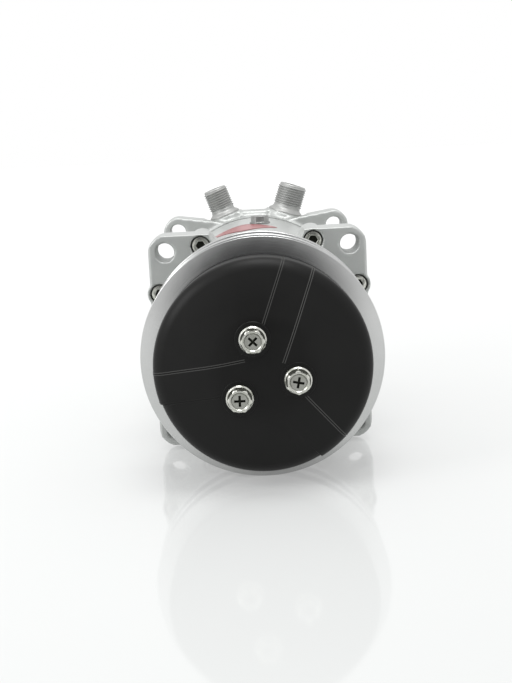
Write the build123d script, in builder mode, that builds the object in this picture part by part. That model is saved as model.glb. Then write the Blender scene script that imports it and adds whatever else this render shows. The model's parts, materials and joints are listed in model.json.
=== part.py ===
from build123d import *
import os
from math import cos, radians, sin, tan

# Belt-driven vehicle air-conditioning compressor: five cylinders worked by a wobble plate, an electric
# clutch in a two-groove pulley, and four drilled ears at each end of the body.
# Millimetres. The shaft lies along Y with the clutch at -Y, Z is up, and the origin is on the shaft
# axis in the plane of the front faces of the front ears.

os.makedirs("parts", exist_ok=True)

# ---- mounting ears ----
ear_span_x = 107.6
ear_span_z = 106.4
ear_hole_d = 11.0
ear_wall = 4.4
ear_len = 21.4
ear_setback = 1.9
top_relief = 27.5
side_relief = 18.45

# ---- castings ----
body_r = 61.5
crank_wall = 9.5
drum_r = 58.0
front_wall = 10.0
drum_len = 18.0
head_wall = 8.0
chamber_depth = 28.2
web = 3.5
housing_bolt_circle = 65.0
housing_bolt_angles = (30.3, 63.5)
bolt_d = 6.0
bolt_head_d = 10.0
bolt_head_h = 6.0
bolt_socket_af = 5.0
bolt_socket_depth = 3.5
pocket_d = 11.6
pocket_depth = 8.0
bolt_thread = 15.0
boss_wall = 4.4
head_bolt_circle = 52.0
head_bolt_d = 8.0
head_bolt_head_d = 12.6
head_bolt_head_h = 6.5
head_bolt_thread = 14.0

# ---- shaft and swash mechanism ----
cylinder_count = 5
bore_d = 35.0
tilt = 22.0
ball_circle = 37.5
nutation_y = 38.0
plate_r = 46.0
plate_front = 9.0
plate_rear = 3.0
rod_ball_d = 13.0
rod_neck_d = 8.0
rod_len = 46.0
small_ball_d = 12.0
crown_len = 19.0
skirt_len = 7.0
top_gap = 0.95
deck_gap = 1.0
shaft_d = 19.0
rotor_r = 42.0
thrust_t = 4.0
spigot_r = 14.0
spigot_len = 5.3
gear_r = 18.0
gear_teeth = 18
centre_ball_d = 10.0
stem_d = 20.0
stem_len = 45.0
stem_socket = 41.0

# ---- valve stack ----
gasket_t = 0.6
reed_t = 0.4
valve_plate_t = 3.5
retainer_t = 1.5
suction_hole_r = 44.0
discharge_hole_r = 30.0
chamber_r = 36.0

# ---- pulley, clutch and cover ----
pulley_r = 66.0
pulley_face = -60.0
pulley_width = 33.0
groove_pitch = 16.5
groove_top = 12.7
groove_depth = 11.5
groove_angle = 36.0
rim_inner_r = 48.8
disc_t = 6.0
bearing_bore = 35.0
bearing_od = 55.0
bearing_width = 20.0
clutch_gap = 0.5
armature_r = 52.0
armature_t = 4.0
hub_flange_r = 27.0
hub_flange_t = 3.0
hub_flange_gap = 4.5
spring_t = 0.8
post_circle = 18.0
post_d = 11.0
screw_angles = (105.0, 225.0, -15.0)
screw_d = 6.0
screw_head_af = 11.1
screw_flange_d = 15.5
cover_r = 56.7
cover_draft = 1.0
cover_t = 2.5
cover_edge_ahead = 20.7
cover_seat_ahead = 35.3
cover_round = 3.7
band_angles = (68.8, 188.8, 308.8)
band_width = 17.0
band_rise = 1.0

# ---- ports ----
port_angle = 19.0
suction_od = 20.0
suction_bore = 12.0
discharge_od = 17.5
discharge_bore = 10.0
port_top_r = 85.4
port_boss_r = 65.5
port_inset = 20.0

# ---- clearances ----
running = 0.05
seat = 0.05
apart = 0.3

# ---- worked out from the values above ----
tilt_sin, tilt_cos = sin(radians(tilt)), cos(radians(tilt))
crank_r = body_r - crank_wall
ear_r = ear_hole_d / 2 + ear_wall
bolt_r = bolt_d / 2
stroke_half = ball_circle * tilt_sin
bore_circle = ball_circle * (1 + tilt_cos) / 2
deck_y = nutation_y + plate_r * tilt_sin + plate_rear * tilt_cos + deck_gap
block_end = nutation_y + stroke_half + rod_len + crown_len + top_gap
suction_reed_y = block_end + gasket_t
valve_plate_y = suction_reed_y + reed_t
plate_rear_y = valve_plate_y + valve_plate_t
head_y = plate_rear_y + gasket_t
rear_ear_y = head_y + ear_setback
head_end = head_y + chamber_depth + head_wall
port_y = rear_ear_y + port_inset
wall_y = -drum_len
rotor_y = wall_y + front_wall + thrust_t
bearing_y = pulley_face + 4.0
hub_face = pulley_face - clutch_gap - armature_t - hub_flange_gap
seat_y = pulley_face - cover_seat_ahead
edge_y = pulley_face - cover_edge_ahead
post_end = seat_y + cover_t
pulley_back = pulley_face + pulley_width
shaft_r = shaft_d / 2
head_bolt_angles = [90 + i * 360 / cylinder_count for i in range(cylinder_count)]

nutation_point = Vector(0, nutation_y, 0)
plate_normal = Vector(0, tilt_cos, tilt_sin)
plate_plane = Plane(origin=nutation_point, x_dir=(1, 0, 0), z_dir=plate_normal)
plate_section = Plane(origin=nutation_point, x_dir=(1, 0, 0), z_dir=(0, -tilt_sin, tilt_cos))
plate_axis = Axis(nutation_point, plate_normal)


def across(y):
    """Plane across the shaft at y, seen from the front: X right, Z up."""
    return Plane.XZ.offset(-y)


def finish(piece, label):
    """Name a finished piece and write it out."""
    piece.part.label = label
    export_step(piece.part, f"parts/{label}.step")


def polar(radius, degrees):
    """Point at a radius and an angle, measured from X towards Z."""
    return radius * cos(radians(degrees)), radius * sin(radians(degrees))


def tube(y, length, r_out, r_in=0.0, mode=Mode.ADD):
    """Ring about the shaft axis from y rearwards, inside the open part."""
    with BuildSketch(across(y)) as profile:
        Circle(r_out)
        if r_in > 0:
            Circle(r_in, mode=Mode.SUBTRACT)
    extrude(profile.sketch, amount=-length, mode=mode)


def drill(y, length, radius, centres, mode=Mode.SUBTRACT):
    """Round holes, or pegs, along the shaft direction at points (x, z)."""
    with BuildSketch(across(y)) as profile:
        with Locations(*centres):
            Circle(radius)
    extrude(profile.sketch, amount=-length, mode=mode)


def turned(points, plane=Plane.XY, axis=Axis.Y, mode=Mode.ADD):
    """Solid of revolution from a closed (radius, along) outline."""
    with BuildSketch(plane) as profile:
        with BuildLine():
            Polyline(*points, close=True)
        make_face()
    revolve(profile.sketch, axis=axis, mode=mode)


ear_points = [(sx * ear_span_x / 2, sz * ear_span_z / 2) for sx in (-1, 1) for sz in (-1, 1)]
head_bolt_points = [polar(head_bolt_circle, a) for a in head_bolt_angles]
post_points = [polar(post_circle, a) for a in screw_angles]
housing_bolt_points = []
for from_top in housing_bolt_angles:
    bolt_x, bolt_z = polar(housing_bolt_circle, 90 - from_top)
    housing_bolt_points += [(sx * bolt_x, sz * bolt_z) for sx in (-1, 1) for sz in (-1, 1)]

# ======================= body castings =======================

with BuildPart() as front_housing:
    with BuildSketch(across(0)):
        RectangleRounded(ear_span_x + 2 * ear_r, ear_span_z + 2 * ear_r, ear_r)
        relief_x = ear_span_x / 2 + ear_r
        relief_z = ear_span_z / 2 + ear_r
        with Locations((relief_x, 0), (-relief_x, 0)):
            Rectangle(body_r, 2 * side_relief, mode=Mode.SUBTRACT)
        with Locations((0, relief_z), (0, -relief_z)):
            Rectangle(2 * top_relief, body_r, mode=Mode.SUBTRACT)
        Circle(body_r)
        with Locations(*housing_bolt_points):
            Circle(bolt_r + boss_wall)
    extrude(amount=-ear_len)
    tube(0, ear_len, crank_r, mode=Mode.SUBTRACT)
    snout_r = bearing_bore / 2
    shoulder_r = snout_r + 3
    gland_r = shaft_r + 5
    gland_y = wall_y - 26
    lip_r = shaft_r + 2
    turned([(lip_r, pulley_face), (snout_r, pulley_face), (snout_r, bearing_y + bearing_width),
            (shoulder_r, bearing_y + bearing_width), (shoulder_r, wall_y), (drum_r - 4, wall_y),
            (drum_r, wall_y + 4), (drum_r, ear_len / 2), (crank_r, ear_len / 2),
            (crank_r, wall_y + front_wall), (gland_r, wall_y + front_wall), (gland_r, gland_y),
            (lip_r, gland_y)])
    # grooves for the three snap rings: bearing, coil plate and shaft seal
    tube(bearing_y - 1.5, 1.5, snout_r + 1, snout_r - 1, mode=Mode.SUBTRACT)
    tube(wall_y - 3.5, 1.5, shoulder_r + 1, shoulder_r - 1, mode=Mode.SUBTRACT)
    tube(gland_y + 0.5, 1.5, gland_r + 1, mode=Mode.SUBTRACT)
    drill(0, ear_len, ear_hole_d / 2, ear_points)
    drill(0, ear_len, bolt_r, housing_bolt_points)
    drill(0, pocket_depth, pocket_d / 2, housing_bolt_points)
finish(front_housing, "front_housing")

plug_x, plug_y = 2.7, 70.0
plug_hole_r = 4.0
plug_boss_wall, plug_boss_h = 4.0, 1.0
plug_flange_wall, plug_flange_h = 2.5, 1.0
plug_head_af, plug_head_h, plug_len = 10.0, 3.8, 9.0
gallery_z = head_bolt_circle - 5
with BuildPart() as cylinder_block:
    tube(ear_len, block_end - ear_len, body_r)
    drill(ear_len, bolt_thread, bolt_r + boss_wall, housing_bolt_points, mode=Mode.ADD)
    tube(ear_len, deck_y - ear_len, crank_r, mode=Mode.SUBTRACT)
    bore_points = [polar(bore_circle, -90 - 360 / cylinder_count * i) for i in range(cylinder_count)]
    drill(deck_y, block_end - deck_y, bore_d / 2, bore_points)
    tube(deck_y, stem_socket, stem_d / 2 + running, mode=Mode.SUBTRACT)
    tube(deck_y + stem_socket, block_end - deck_y - stem_socket, stem_d / 2 - 2, mode=Mode.SUBTRACT)
    drill(ear_len, bolt_thread, bolt_r, housing_bolt_points)
    drill(block_end - head_bolt_thread, head_bolt_thread, head_bolt_d / 2, head_bolt_points)
    # groove for the ring seal, then the oil filler hole and its gallery to the crankcase
    tube(ear_len, 2.5, crank_r + 6, crank_r + 3.4, mode=Mode.SUBTRACT)
    with BuildSketch(Plane.XY.offset(gallery_z)):
        with Locations((plug_x, plug_y)):
            Circle(plug_hole_r)
    extrude(amount=body_r, mode=Mode.SUBTRACT)
    drill(deck_y, plug_y - deck_y, 3, [(plug_x, gallery_z)])
    with BuildSketch(Plane.XY.offset(body_r - plug_boss_h)):
        with Locations((plug_x, plug_y)):
            Circle(plug_hole_r + plug_boss_wall)
            Circle(plug_hole_r, mode=Mode.SUBTRACT)
    extrude(amount=plug_boss_h)
finish(cylinder_block, "cylinder_block")

ear_x, ear_z = ear_span_x / 2, ear_span_z / 2
lug_turn, lug_root = radians(55), radians(34)
saddle_x, saddle_width, saddle_len = -0.5, 21.0, 17.0
saddle_root, saddle_top = 50.0, 64.8
port_root_r = 45.0
annulus_in, annulus_out = chamber_r + web, head_bolt_circle - 3
with BuildPart() as rear_head:
    tube(head_y, head_end - head_y, body_r)
    fillet(rear_head.edges().filter_by(GeomType.CIRCLE).group_by(Axis.Y)[-1], 4)
    with BuildSketch(across(rear_ear_y)):
        for sx in (-1, 1):
            for sz in (-1, 1):
                with BuildLine():
                    Polyline((sx * 20, sz * (body_r - 3.4)), (sx * (ear_x - 1.5), sz * (ear_z + ear_r - 0.12)),
                             (sx * (ear_x + ear_r * cos(lug_turn)), sz * (ear_z - ear_r * sin(lug_turn))),
                             (sx * body_r * cos(lug_root), sz * body_r * sin(lug_root)),
                             (sx * 30, sz * 30), close=True)
                make_face()
        with Locations(*ear_points):
            Circle(ear_r)
    extrude(amount=-ear_len)
    # bosses under the two ports and the saddle between them
    for side, od in ((1, suction_od), (-1, discharge_od)):
        dx, dz = polar(1, 90 - side * port_angle)
        with BuildSketch(Plane(origin=(port_root_r * dx, port_y, port_root_r * dz), x_dir=(0, 1, 0), z_dir=(dx, 0, dz))):
            Circle(od / 2 + 3.5)
        extrude(amount=port_boss_r - port_root_r)
    with BuildSketch(Plane.XY.offset(saddle_root)):
        with Locations((saddle_x, port_y - 1)):
            RectangleRounded(saddle_width, saddle_len, 3)
    extrude(amount=saddle_top - saddle_root)
    tube(head_y, chamber_depth, annulus_out, mode=Mode.SUBTRACT)
    tube(head_y, chamber_depth, annulus_in, chamber_r)
    drill(head_y, chamber_depth, head_bolt_d / 2 + 4, head_bolt_points, mode=Mode.ADD)
    for side, od, bore, reach in ((1, suction_od, suction_bore, 47.0), (-1, discharge_od, discharge_bore, 33.0)):
        dx, dz = polar(1, 90 - side * port_angle)
        inner = Plane(origin=(reach * dx, port_y, reach * dz), x_dir=(0, 1, 0), z_dir=(dx, 0, dz))
        if side < 0:
            with BuildSketch(inner.offset(4)):
                Circle(bore / 2 + 2)
            extrude(amount=20)
        with BuildSketch(inner):
            Circle(bore / 2)
        extrude(amount=40, mode=Mode.SUBTRACT)
        with BuildSketch(inner.offset(port_boss_r - 9 - reach)):
            Circle(bore / 2 + 2)
        extrude(amount=20, mode=Mode.SUBTRACT)
        with BuildSketch(inner.offset(port_boss_r - reach)):
            Circle(od / 2 + 4.5)
        extrude(amount=20, mode=Mode.SUBTRACT)
    drill(head_y, head_end - head_y, head_bolt_d / 2, head_bolt_points)
    drill(head_end - head_bolt_head_h - 0.5, 10, head_bolt_head_d / 2 + 0.5, head_bolt_points)
    drill(rear_ear_y, ear_len, ear_hole_d / 2, ear_points)
finish(rear_head, "rear_head")

for side, od, bore, label in ((1, suction_od, suction_bore, "suction_fitting"),
                              (-1, discharge_od, discharge_bore, "discharge_fitting")):
    dx, dz = polar(1, 90 - side * port_angle)
    section = Plane(origin=(0, port_y, 0), x_dir=(0, 1, 0), z_dir=(dz, 0, -dx))
    spigot = bore / 2 + 2 - seat
    with BuildPart() as fitting:
        turned([(bore / 2, port_boss_r - 9 + seat), (spigot, port_boss_r - 9 + seat), (spigot, port_boss_r),
                (od / 2 + 2, port_boss_r), (od / 2 + 2, port_boss_r + 1), (od / 2 - 0.6, port_boss_r + 3),
                (od / 2 - 0.6, port_boss_r + 4.5), (od / 2, port_boss_r + 5), (od / 2, port_top_r - 1),
                (od / 2 - 1, port_top_r), (bore / 2, port_top_r)],
               section, Axis((0, port_y, 0), (dx, 0, dz)))
    finish(fitting, label)

with BuildPart() as housing_bolts:
    drill(pocket_depth - bolt_head_h, bolt_head_h, bolt_head_d / 2, housing_bolt_points, mode=Mode.ADD)
    drill(pocket_depth, ear_len + bolt_thread - pocket_depth - 1, bolt_r, housing_bolt_points, mode=Mode.ADD)
    with BuildSketch(across(pocket_depth - bolt_head_h)):
        with Locations(*housing_bolt_points):
            RegularPolygon(bolt_socket_af / 2, 6, major_radius=False)
    extrude(amount=-bolt_socket_depth, mode=Mode.SUBTRACT)
finish(housing_bolts, "housing_bolts")

with BuildPart() as head_bolts:
    drill(block_end - head_bolt_thread, head_end - head_bolt_head_h - 0.5 - block_end + head_bolt_thread,
          head_bolt_d / 2, head_bolt_points, mode=Mode.ADD)
    with BuildSketch(across(head_end - head_bolt_head_h - 0.5)):
        with Locations(*head_bolt_points):
            RegularPolygon(head_bolt_head_d / 2, 6)
    extrude(amount=-head_bolt_head_h)
finish(head_bolts, "head_bolts")

with BuildPart() as oil_filler_plug:
    with BuildSketch(Plane.XY.offset(body_r)):
        with Locations((plug_x, plug_y)):
            Circle(plug_hole_r + plug_flange_wall)
    extrude(amount=plug_flange_h)
    with BuildSketch(Plane.XY.offset(body_r + plug_flange_h)):
        with Locations((plug_x, plug_y)):
            RegularPolygon(plug_head_af / 2, 6, major_radius=False)
    extrude(amount=plug_head_h)
    with BuildSketch(Plane.XY.offset(body_r)):
        with Locations((plug_x, plug_y)):
            Circle(plug_hole_r)
    extrude(amount=-plug_len)
finish(oil_filler_plug, "oil_filler_plug")

label_x, label_y, label_side, label_corner, label_t = -8.0, 47.0, 32.0, 4.0, 0.25
with BuildPart() as blank_label:
    with BuildSketch(Plane.XY.offset(body_r / 2)):
        with Locations(Location((label_x, label_y, 0), (0, 0, 45))):
            RectangleRounded(label_side, label_side, label_corner)
    extrude(amount=body_r)
    tube(ear_len, block_end - ear_len, body_r + seat + label_t, body_r + seat, mode=Mode.INTERSECT)
finish(blank_label, "blank_label")

with BuildPart() as body_o_ring:
    with BuildSketch(Plane.XY):
        with Locations((crank_r + 4.7, ear_len + 1.25)):
            Circle(1.25)
    revolve(axis=Axis.Y)
finish(body_o_ring, "body_o_ring")

# ======================= front end of the housing =======================

ball_row_r = (bearing_bore + bearing_od) / 4
bearing_section = (bearing_od - bearing_bore) / 2
bearing_ball_r = 0.32 * bearing_section
race_t = 0.3 * bearing_section
bearing_mid = bearing_y + bearing_width / 2
for label, r_in, r_out in (("bearing_inner_ring", bearing_bore / 2, bearing_bore / 2 + race_t),
                           ("bearing_outer_ring", bearing_od / 2 - race_t, bearing_od / 2)):
    with BuildPart() as race:
        tube(bearing_y, bearing_width, r_out, r_in)
        with BuildSketch(Plane.XY):
            with Locations((ball_row_r, bearing_mid)):
                Circle(bearing_ball_r + running)
        revolve(axis=Axis.Y, mode=Mode.SUBTRACT)
    finish(race, label)

with BuildPart() as bearing_balls:
    with Locations(*[Vector(x, bearing_mid, z) for x, z in [polar(ball_row_r, 30 * i) for i in range(12)]]):
        Sphere(bearing_ball_r)
finish(bearing_balls, "bearing_balls")

with BuildPart() as snap_rings:
    tube(bearing_y - 1.4, 1.3, snout_r + 3, snout_r - 0.9)
    tube(wall_y - 3.4, 1.3, shoulder_r + 3, shoulder_r - 0.9)
    tube(gland_y + 0.6, 1.3, gland_r + 0.9, gland_r - 2.2)
    with BuildSketch(across(bearing_y - 3)):
        with Locations((0, -25), (0, -gland_r)):
            Rectangle(4, 10)
    extrude(amount=-60, mode=Mode.SUBTRACT)
finish(snap_rings, "snap_rings")

coil_in, coil_out = bearing_od / 2 + 5.5, rim_inner_r - 1.3
coil_front = pulley_face + disc_t + 1.5
with BuildPart() as coil_shell:
    turned([(shoulder_r + seat, wall_y - 2), (coil_in, wall_y - 2), (coil_in, coil_front),
            (coil_in + 2.5, coil_front), (coil_in + 2.5, wall_y - 6), (coil_out - 2.5, wall_y - 6),
            (coil_out - 2.5, coil_front), (coil_out, coil_front), (coil_out, wall_y),
            (shoulder_r + seat, wall_y)])
finish(coil_shell, "coil_shell")

with BuildPart() as coil_winding:
    tube(coil_front + 1, wall_y - 7 - coil_front, coil_out - 2.5, coil_in + 2.5)
finish(coil_winding, "coil_winding")

with BuildPart() as coil_grommet:
    with BuildSketch(across(wall_y - 6)):
        with Locations(Location((*polar(coil_out + 3, 225), 0), 225)):
            RectangleRounded(6, 9, 1.5)
    extrude(amount=-6)
finish(coil_grommet, "coil_grommet")

seal_seat_y = gland_y + 2.0
with BuildPart() as seal_seat:
    tube(seal_seat_y, 4, gland_r, shaft_r + 0.6)
finish(seal_seat, "seal_seat")

needle_count = 14
needle_y, needle_len = wall_y - 12, 18.0
shell_t = 1.2
needle_r = (gland_r - shell_t - shaft_r) / 2 - running
with BuildPart() as front_needle_bearing:
    tube(needle_y, needle_len, gland_r, gland_r - shell_t)
    needle_points = [polar(shaft_r + running + needle_r, i * 360 / needle_count) for i in range(needle_count)]
    drill(needle_y + 1, needle_len - 2, needle_r, needle_points, mode=Mode.ADD)
finish(front_needle_bearing, "front_needle_bearing")

# ======================= pulley =======================

groove_half = groove_top / 2
groove_floor_half = groove_half - groove_depth * tan(radians(groove_angle / 2))
pulley_mid = pulley_face + pulley_width / 2
hub_tube_r = bearing_od / 2 + 4
staked_lip = 1.5
outline = [(bearing_od / 2 - 2, pulley_face), (pulley_r, pulley_face)]
for groove_y in (pulley_mid - groove_pitch / 2, pulley_mid + groove_pitch / 2):
    outline += [(pulley_r, groove_y - groove_half), (pulley_r - groove_depth, groove_y - groove_floor_half),
                (pulley_r - groove_depth, groove_y + groove_floor_half), (pulley_r, groove_y + groove_half)]
outline += [(pulley_r, pulley_back), (rim_inner_r, pulley_back), (rim_inner_r, pulley_face + disc_t),
            (hub_tube_r, pulley_face + disc_t), (hub_tube_r, bearing_y + bearing_width + staked_lip),
            (bearing_od / 2, bearing_y + bearing_width + staked_lip), (bearing_od / 2, bearing_y),
            (bearing_od / 2 - 2, bearing_y)]
with BuildPart() as pulley:
    turned(outline)
    # four curved slots that steer the magnet's field through the disc
    with BuildSketch(across(pulley_face)):
        Circle(41.5)
        Circle(38.5, mode=Mode.SUBTRACT)
        with PolarLocations(40, 4):
            Rectangle(8, 8, mode=Mode.SUBTRACT)
    extrude(amount=-disc_t, mode=Mode.SUBTRACT)
finish(pulley, "pulley")

# ======================= clutch front =======================

armature_y = pulley_face - clutch_gap - armature_t
rivet_circle = 42.0
rivet_points = [polar(rivet_circle, a + 60) for a in screw_angles]
with BuildPart() as armature_plate:
    tube(armature_y, armature_t, armature_r, hub_flange_r)
finish(armature_plate, "armature_plate")

spring_y = hub_face + hub_flange_t
with BuildPart() as armature_rivets:
    drill(spring_y + spring_t + apart, armature_y - spring_y - spring_t - apart, 4.5, rivet_points,
          mode=Mode.ADD)
    drill(spring_y - 2, armature_y - spring_y + 2, 2.5, rivet_points, mode=Mode.ADD)
    drill(spring_y - 2, 1.5, 4.5, rivet_points, mode=Mode.ADD)
finish(armature_rivets, "armature_rivets")

nut_y = hub_face - 10
with BuildPart() as clutch_hub:
    tube(hub_face, hub_flange_t, hub_flange_r)
    tube(nut_y, pulley_face - 1.5 - nut_y, 14)
    drill(post_end, hub_face - post_end, post_d / 2, post_points, mode=Mode.ADD)
    tube(nut_y, pulley_face - nut_y, shaft_r, mode=Mode.SUBTRACT)
    drill(post_end, 15, screw_d / 2, post_points)
    key_y = nut_y + 9
    with Locations((0, key_y, shaft_r)):
        Box(4, 12, 4, mode=Mode.SUBTRACT)
finish(clutch_hub, "clutch_hub")

with BuildPart() as clutch_springs:
    with BuildSketch(across(spring_y)):
        for a in screw_angles:
            with Locations(Location((*polar((rivet_circle + 22) / 2, a + 60), 0), a + 60)):
                SlotCenterToCenter(rivet_circle - 22, 13)
        with Locations(*rivet_points):
            Circle(2.5 + apart, mode=Mode.SUBTRACT)
    extrude(amount=-spring_t)
finish(clutch_springs, "clutch_springs")

nut_af = shaft_d - 2
with BuildPart() as shaft_nut:
    with BuildSketch(across(nut_y - 6)):
        RegularPolygon(nut_af / 2, 6, major_radius=False)
        Circle(6, mode=Mode.SUBTRACT)
    extrude(amount=-6)
finish(shaft_nut, "shaft_nut")

with BuildPart() as hub_key:
    with Locations((0, key_y, shaft_r)):
        Box(4, 12, 4)
finish(hub_key, "hub_key")


def cover_outline(swell):
    """Half section of the cover's outside, grown by a little."""
    rim = cover_r + swell
    return [(0, seat_y - swell), (post_circle + screw_flange_d / 2, seat_y - swell),
            (cover_r - cover_round, edge_y - cover_round - swell),
            (rim - 0.3 * cover_round, edge_y - 0.7 * cover_round), (rim, edge_y),
            (rim - cover_draft, pulley_face - 1), (0, pulley_face - 1)]


with BuildPart() as cover_bands:
    turned(cover_outline(band_rise))
    with BuildSketch(across(seat_y - 5)):
        for a in band_angles:
            with Locations(Location((*polar(10 + cover_r / 2, a), 0), a)):
                Rectangle(cover_r + 10, band_width)
    extrude(amount=-(pulley_face - seat_y + 5), mode=Mode.INTERSECT)

inner_rim = cover_r - cover_t
with BuildPart() as dust_cover:
    turned(cover_outline(0))
    add(cover_bands.part)
    turned([(0, post_end), (post_circle + screw_flange_d / 2 - 1, post_end),
            (inner_rim - cover_round + 1, edge_y - cover_round + cover_t), (inner_rim, edge_y + cover_t / 2),
            (inner_rim - cover_draft + 0.5, pulley_face), (0, pulley_face)], mode=Mode.SUBTRACT)
    drill(seat_y - 6, 20, screw_d / 2 + 0.2, post_points)
    drill(seat_y - 6, 6, screw_flange_d / 2 + 0.5, post_points)
finish(dust_cover, "dust_cover")

with BuildPart() as cover_screws:
    with BuildSketch(across(seat_y - 6)):
        with Locations(*post_points):
            RegularPolygon(screw_head_af / 2, 6, major_radius=False)
    extrude(amount=-4.6)
    drill(seat_y - 1.5, 1.5, screw_flange_d / 2, post_points, mode=Mode.ADD)
    drill(seat_y, 14, screw_d / 2, post_points, mode=Mode.ADD)
    drill(seat_y - 6, 1.0, screw_head_af / 2 - 1.2, post_points)
finish(cover_screws, "cover_screws")

# ======================= shaft and swash mechanism =======================

shaft_end = rotor_y + 20
with BuildPart() as drive_shaft:
    tube(nut_y, shaft_end - nut_y, shaft_r)
    tube(nut_y - 8, 8, 6)
    with Locations((0, key_y, shaft_r)):
        Box(4, 12, 4, mode=Mode.SUBTRACT)
finish(drive_shaft, "drive_shaft")

rotor_face = plate_plane.offset(-plate_front - thrust_t)
with BuildPart() as cam_rotor:
    tube(rotor_y, nutation_y + 10 - rotor_y, rotor_r)
    split(bisect_by=rotor_face, keep=Keep.BOTTOM)
    with BuildSketch(rotor_face):
        Circle(spigot_r)
    extrude(amount=spigot_len)
    tube(rotor_y, shaft_end - rotor_y, shaft_r, mode=Mode.SUBTRACT)
finish(cam_rotor, "cam_rotor")

with BuildPart() as seal_ring:
    tube(seal_seat_y + 4.05, 6, shaft_r + 3.6, shaft_r)
finish(seal_ring, "seal_ring")

thrust_roller_d = thrust_t - 0.1
for label, base, r_in, r_out in (("front_thrust_bearing", across(rotor_y), shaft_r + 6.5, 34.0),
                                 ("wobble_thrust_bearing", rotor_face, spigot_r + 3, 38.0)):
    roller_len = r_out - r_in - 4
    roller_mid = (r_out + r_in) / 2
    with BuildPart(base) as thrust_bearing:
        with BuildSketch(base.offset(thrust_t / 2 - 0.9)):
            Circle(r_out)
            Circle(r_in, mode=Mode.SUBTRACT)
            with PolarLocations(roller_mid, 16):
                Rectangle(roller_len + 0.4, thrust_roller_d + 0.4, mode=Mode.SUBTRACT)
        extrude(amount=1.8)
        with Locations((0, 0, thrust_t / 2)):
            with PolarLocations(roller_mid, 16):
                Cylinder(thrust_roller_d / 2, roller_len, rotation=(0, 90, 0))
    finish(thrust_bearing, label)

pocket_r = rod_ball_d / 2 + apart
gear_floor = 5.5
recess_r = gear_r + 6
with BuildPart() as wobble_plate:
    turned([(0, -plate_front + 1.5), (spigot_r + apart, -plate_front + 1.5), (spigot_r + apart, -plate_front),
            (plate_r, -plate_front), (plate_r, plate_rear), (recess_r, plate_rear), (recess_r, -gear_floor),
            (0, -gear_floor)], plate_section, plate_axis)
    with Locations(plate_plane):
        with PolarLocations(ball_circle, cylinder_count, start_angle=90):
            Sphere(pocket_r, mode=Mode.SUBTRACT)
finish(wobble_plate, "wobble_plate")

ball_seat_r = centre_ball_d / 2 + 0.1
cone_drop = tan(radians(tilt / 2 + 0.8))
tooth_gap = 1.6
gear_outline = [(0, 0), (gear_r, -gear_r * cone_drop), (gear_r, -gear_floor), (0, -gear_floor)]
with BuildPart() as plate_gear:
    turned(gear_outline, plate_section, plate_axis)
    with Locations(plate_plane):
        Sphere(ball_seat_r, mode=Mode.SUBTRACT)
    with BuildSketch(plate_plane.offset(-gear_r * cone_drop - 0.6)):
        with PolarLocations((gear_r + 8) / 2, gear_teeth):
            Rectangle(gear_r - 7, tooth_gap)
    extrude(amount=gear_r, mode=Mode.SUBTRACT)
finish(plate_gear, "plate_gear")

with BuildPart() as fixed_gear:
    turned([(0, nutation_y), (gear_r, nutation_y + gear_r * cone_drop), (gear_r, nutation_y + gear_floor + 1.5),
            (stem_d / 2, nutation_y + gear_floor + 1.5), (stem_d / 2, nutation_y + gear_floor + stem_len),
            (0, nutation_y + gear_floor + stem_len)])
    with Locations(nutation_point):
        Sphere(ball_seat_r, mode=Mode.SUBTRACT)
    with BuildSketch(across(nutation_y)):
        with PolarLocations((gear_r + 8) / 2, gear_teeth):
            Rectangle(gear_r - 7, tooth_gap)
    extrude(amount=-(gear_r * cone_drop + 0.6), mode=Mode.SUBTRACT)
finish(fixed_gear, "fixed_gear")

with BuildPart() as centre_ball:
    with Locations(nutation_point):
        Sphere(centre_ball_d / 2)
finish(centre_ball, "centre_ball")

spring_front = nutation_y + gear_floor + stem_len
spring_wire = 1.6
spring_turns = 3
spring_space = deck_y + 41 - spring_front
with BuildPart() as preload_spring:
    with BuildLine():
        coil_path = Helix((spring_space - 2 * spring_wire) / spring_turns, spring_space - 2 * spring_wire, 6.5,
                          center=(0, spring_front + spring_wire, 0), direction=(0, 1, 0))
    with BuildSketch(Plane(origin=coil_path @ 0, z_dir=coil_path % 0)):
        Circle(spring_wire / 2)
    sweep()
finish(preload_spring, "preload_spring")

with BuildPart() as adjusting_screw:
    tube(deck_y + 41, 12, stem_d / 2 - 2)
    with BuildSketch(across(deck_y + 53)):
        RegularPolygon(4, 6, major_radius=False)
    extrude(amount=6, mode=Mode.SUBTRACT)
finish(adjusting_screw, "adjusting_screw")

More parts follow.
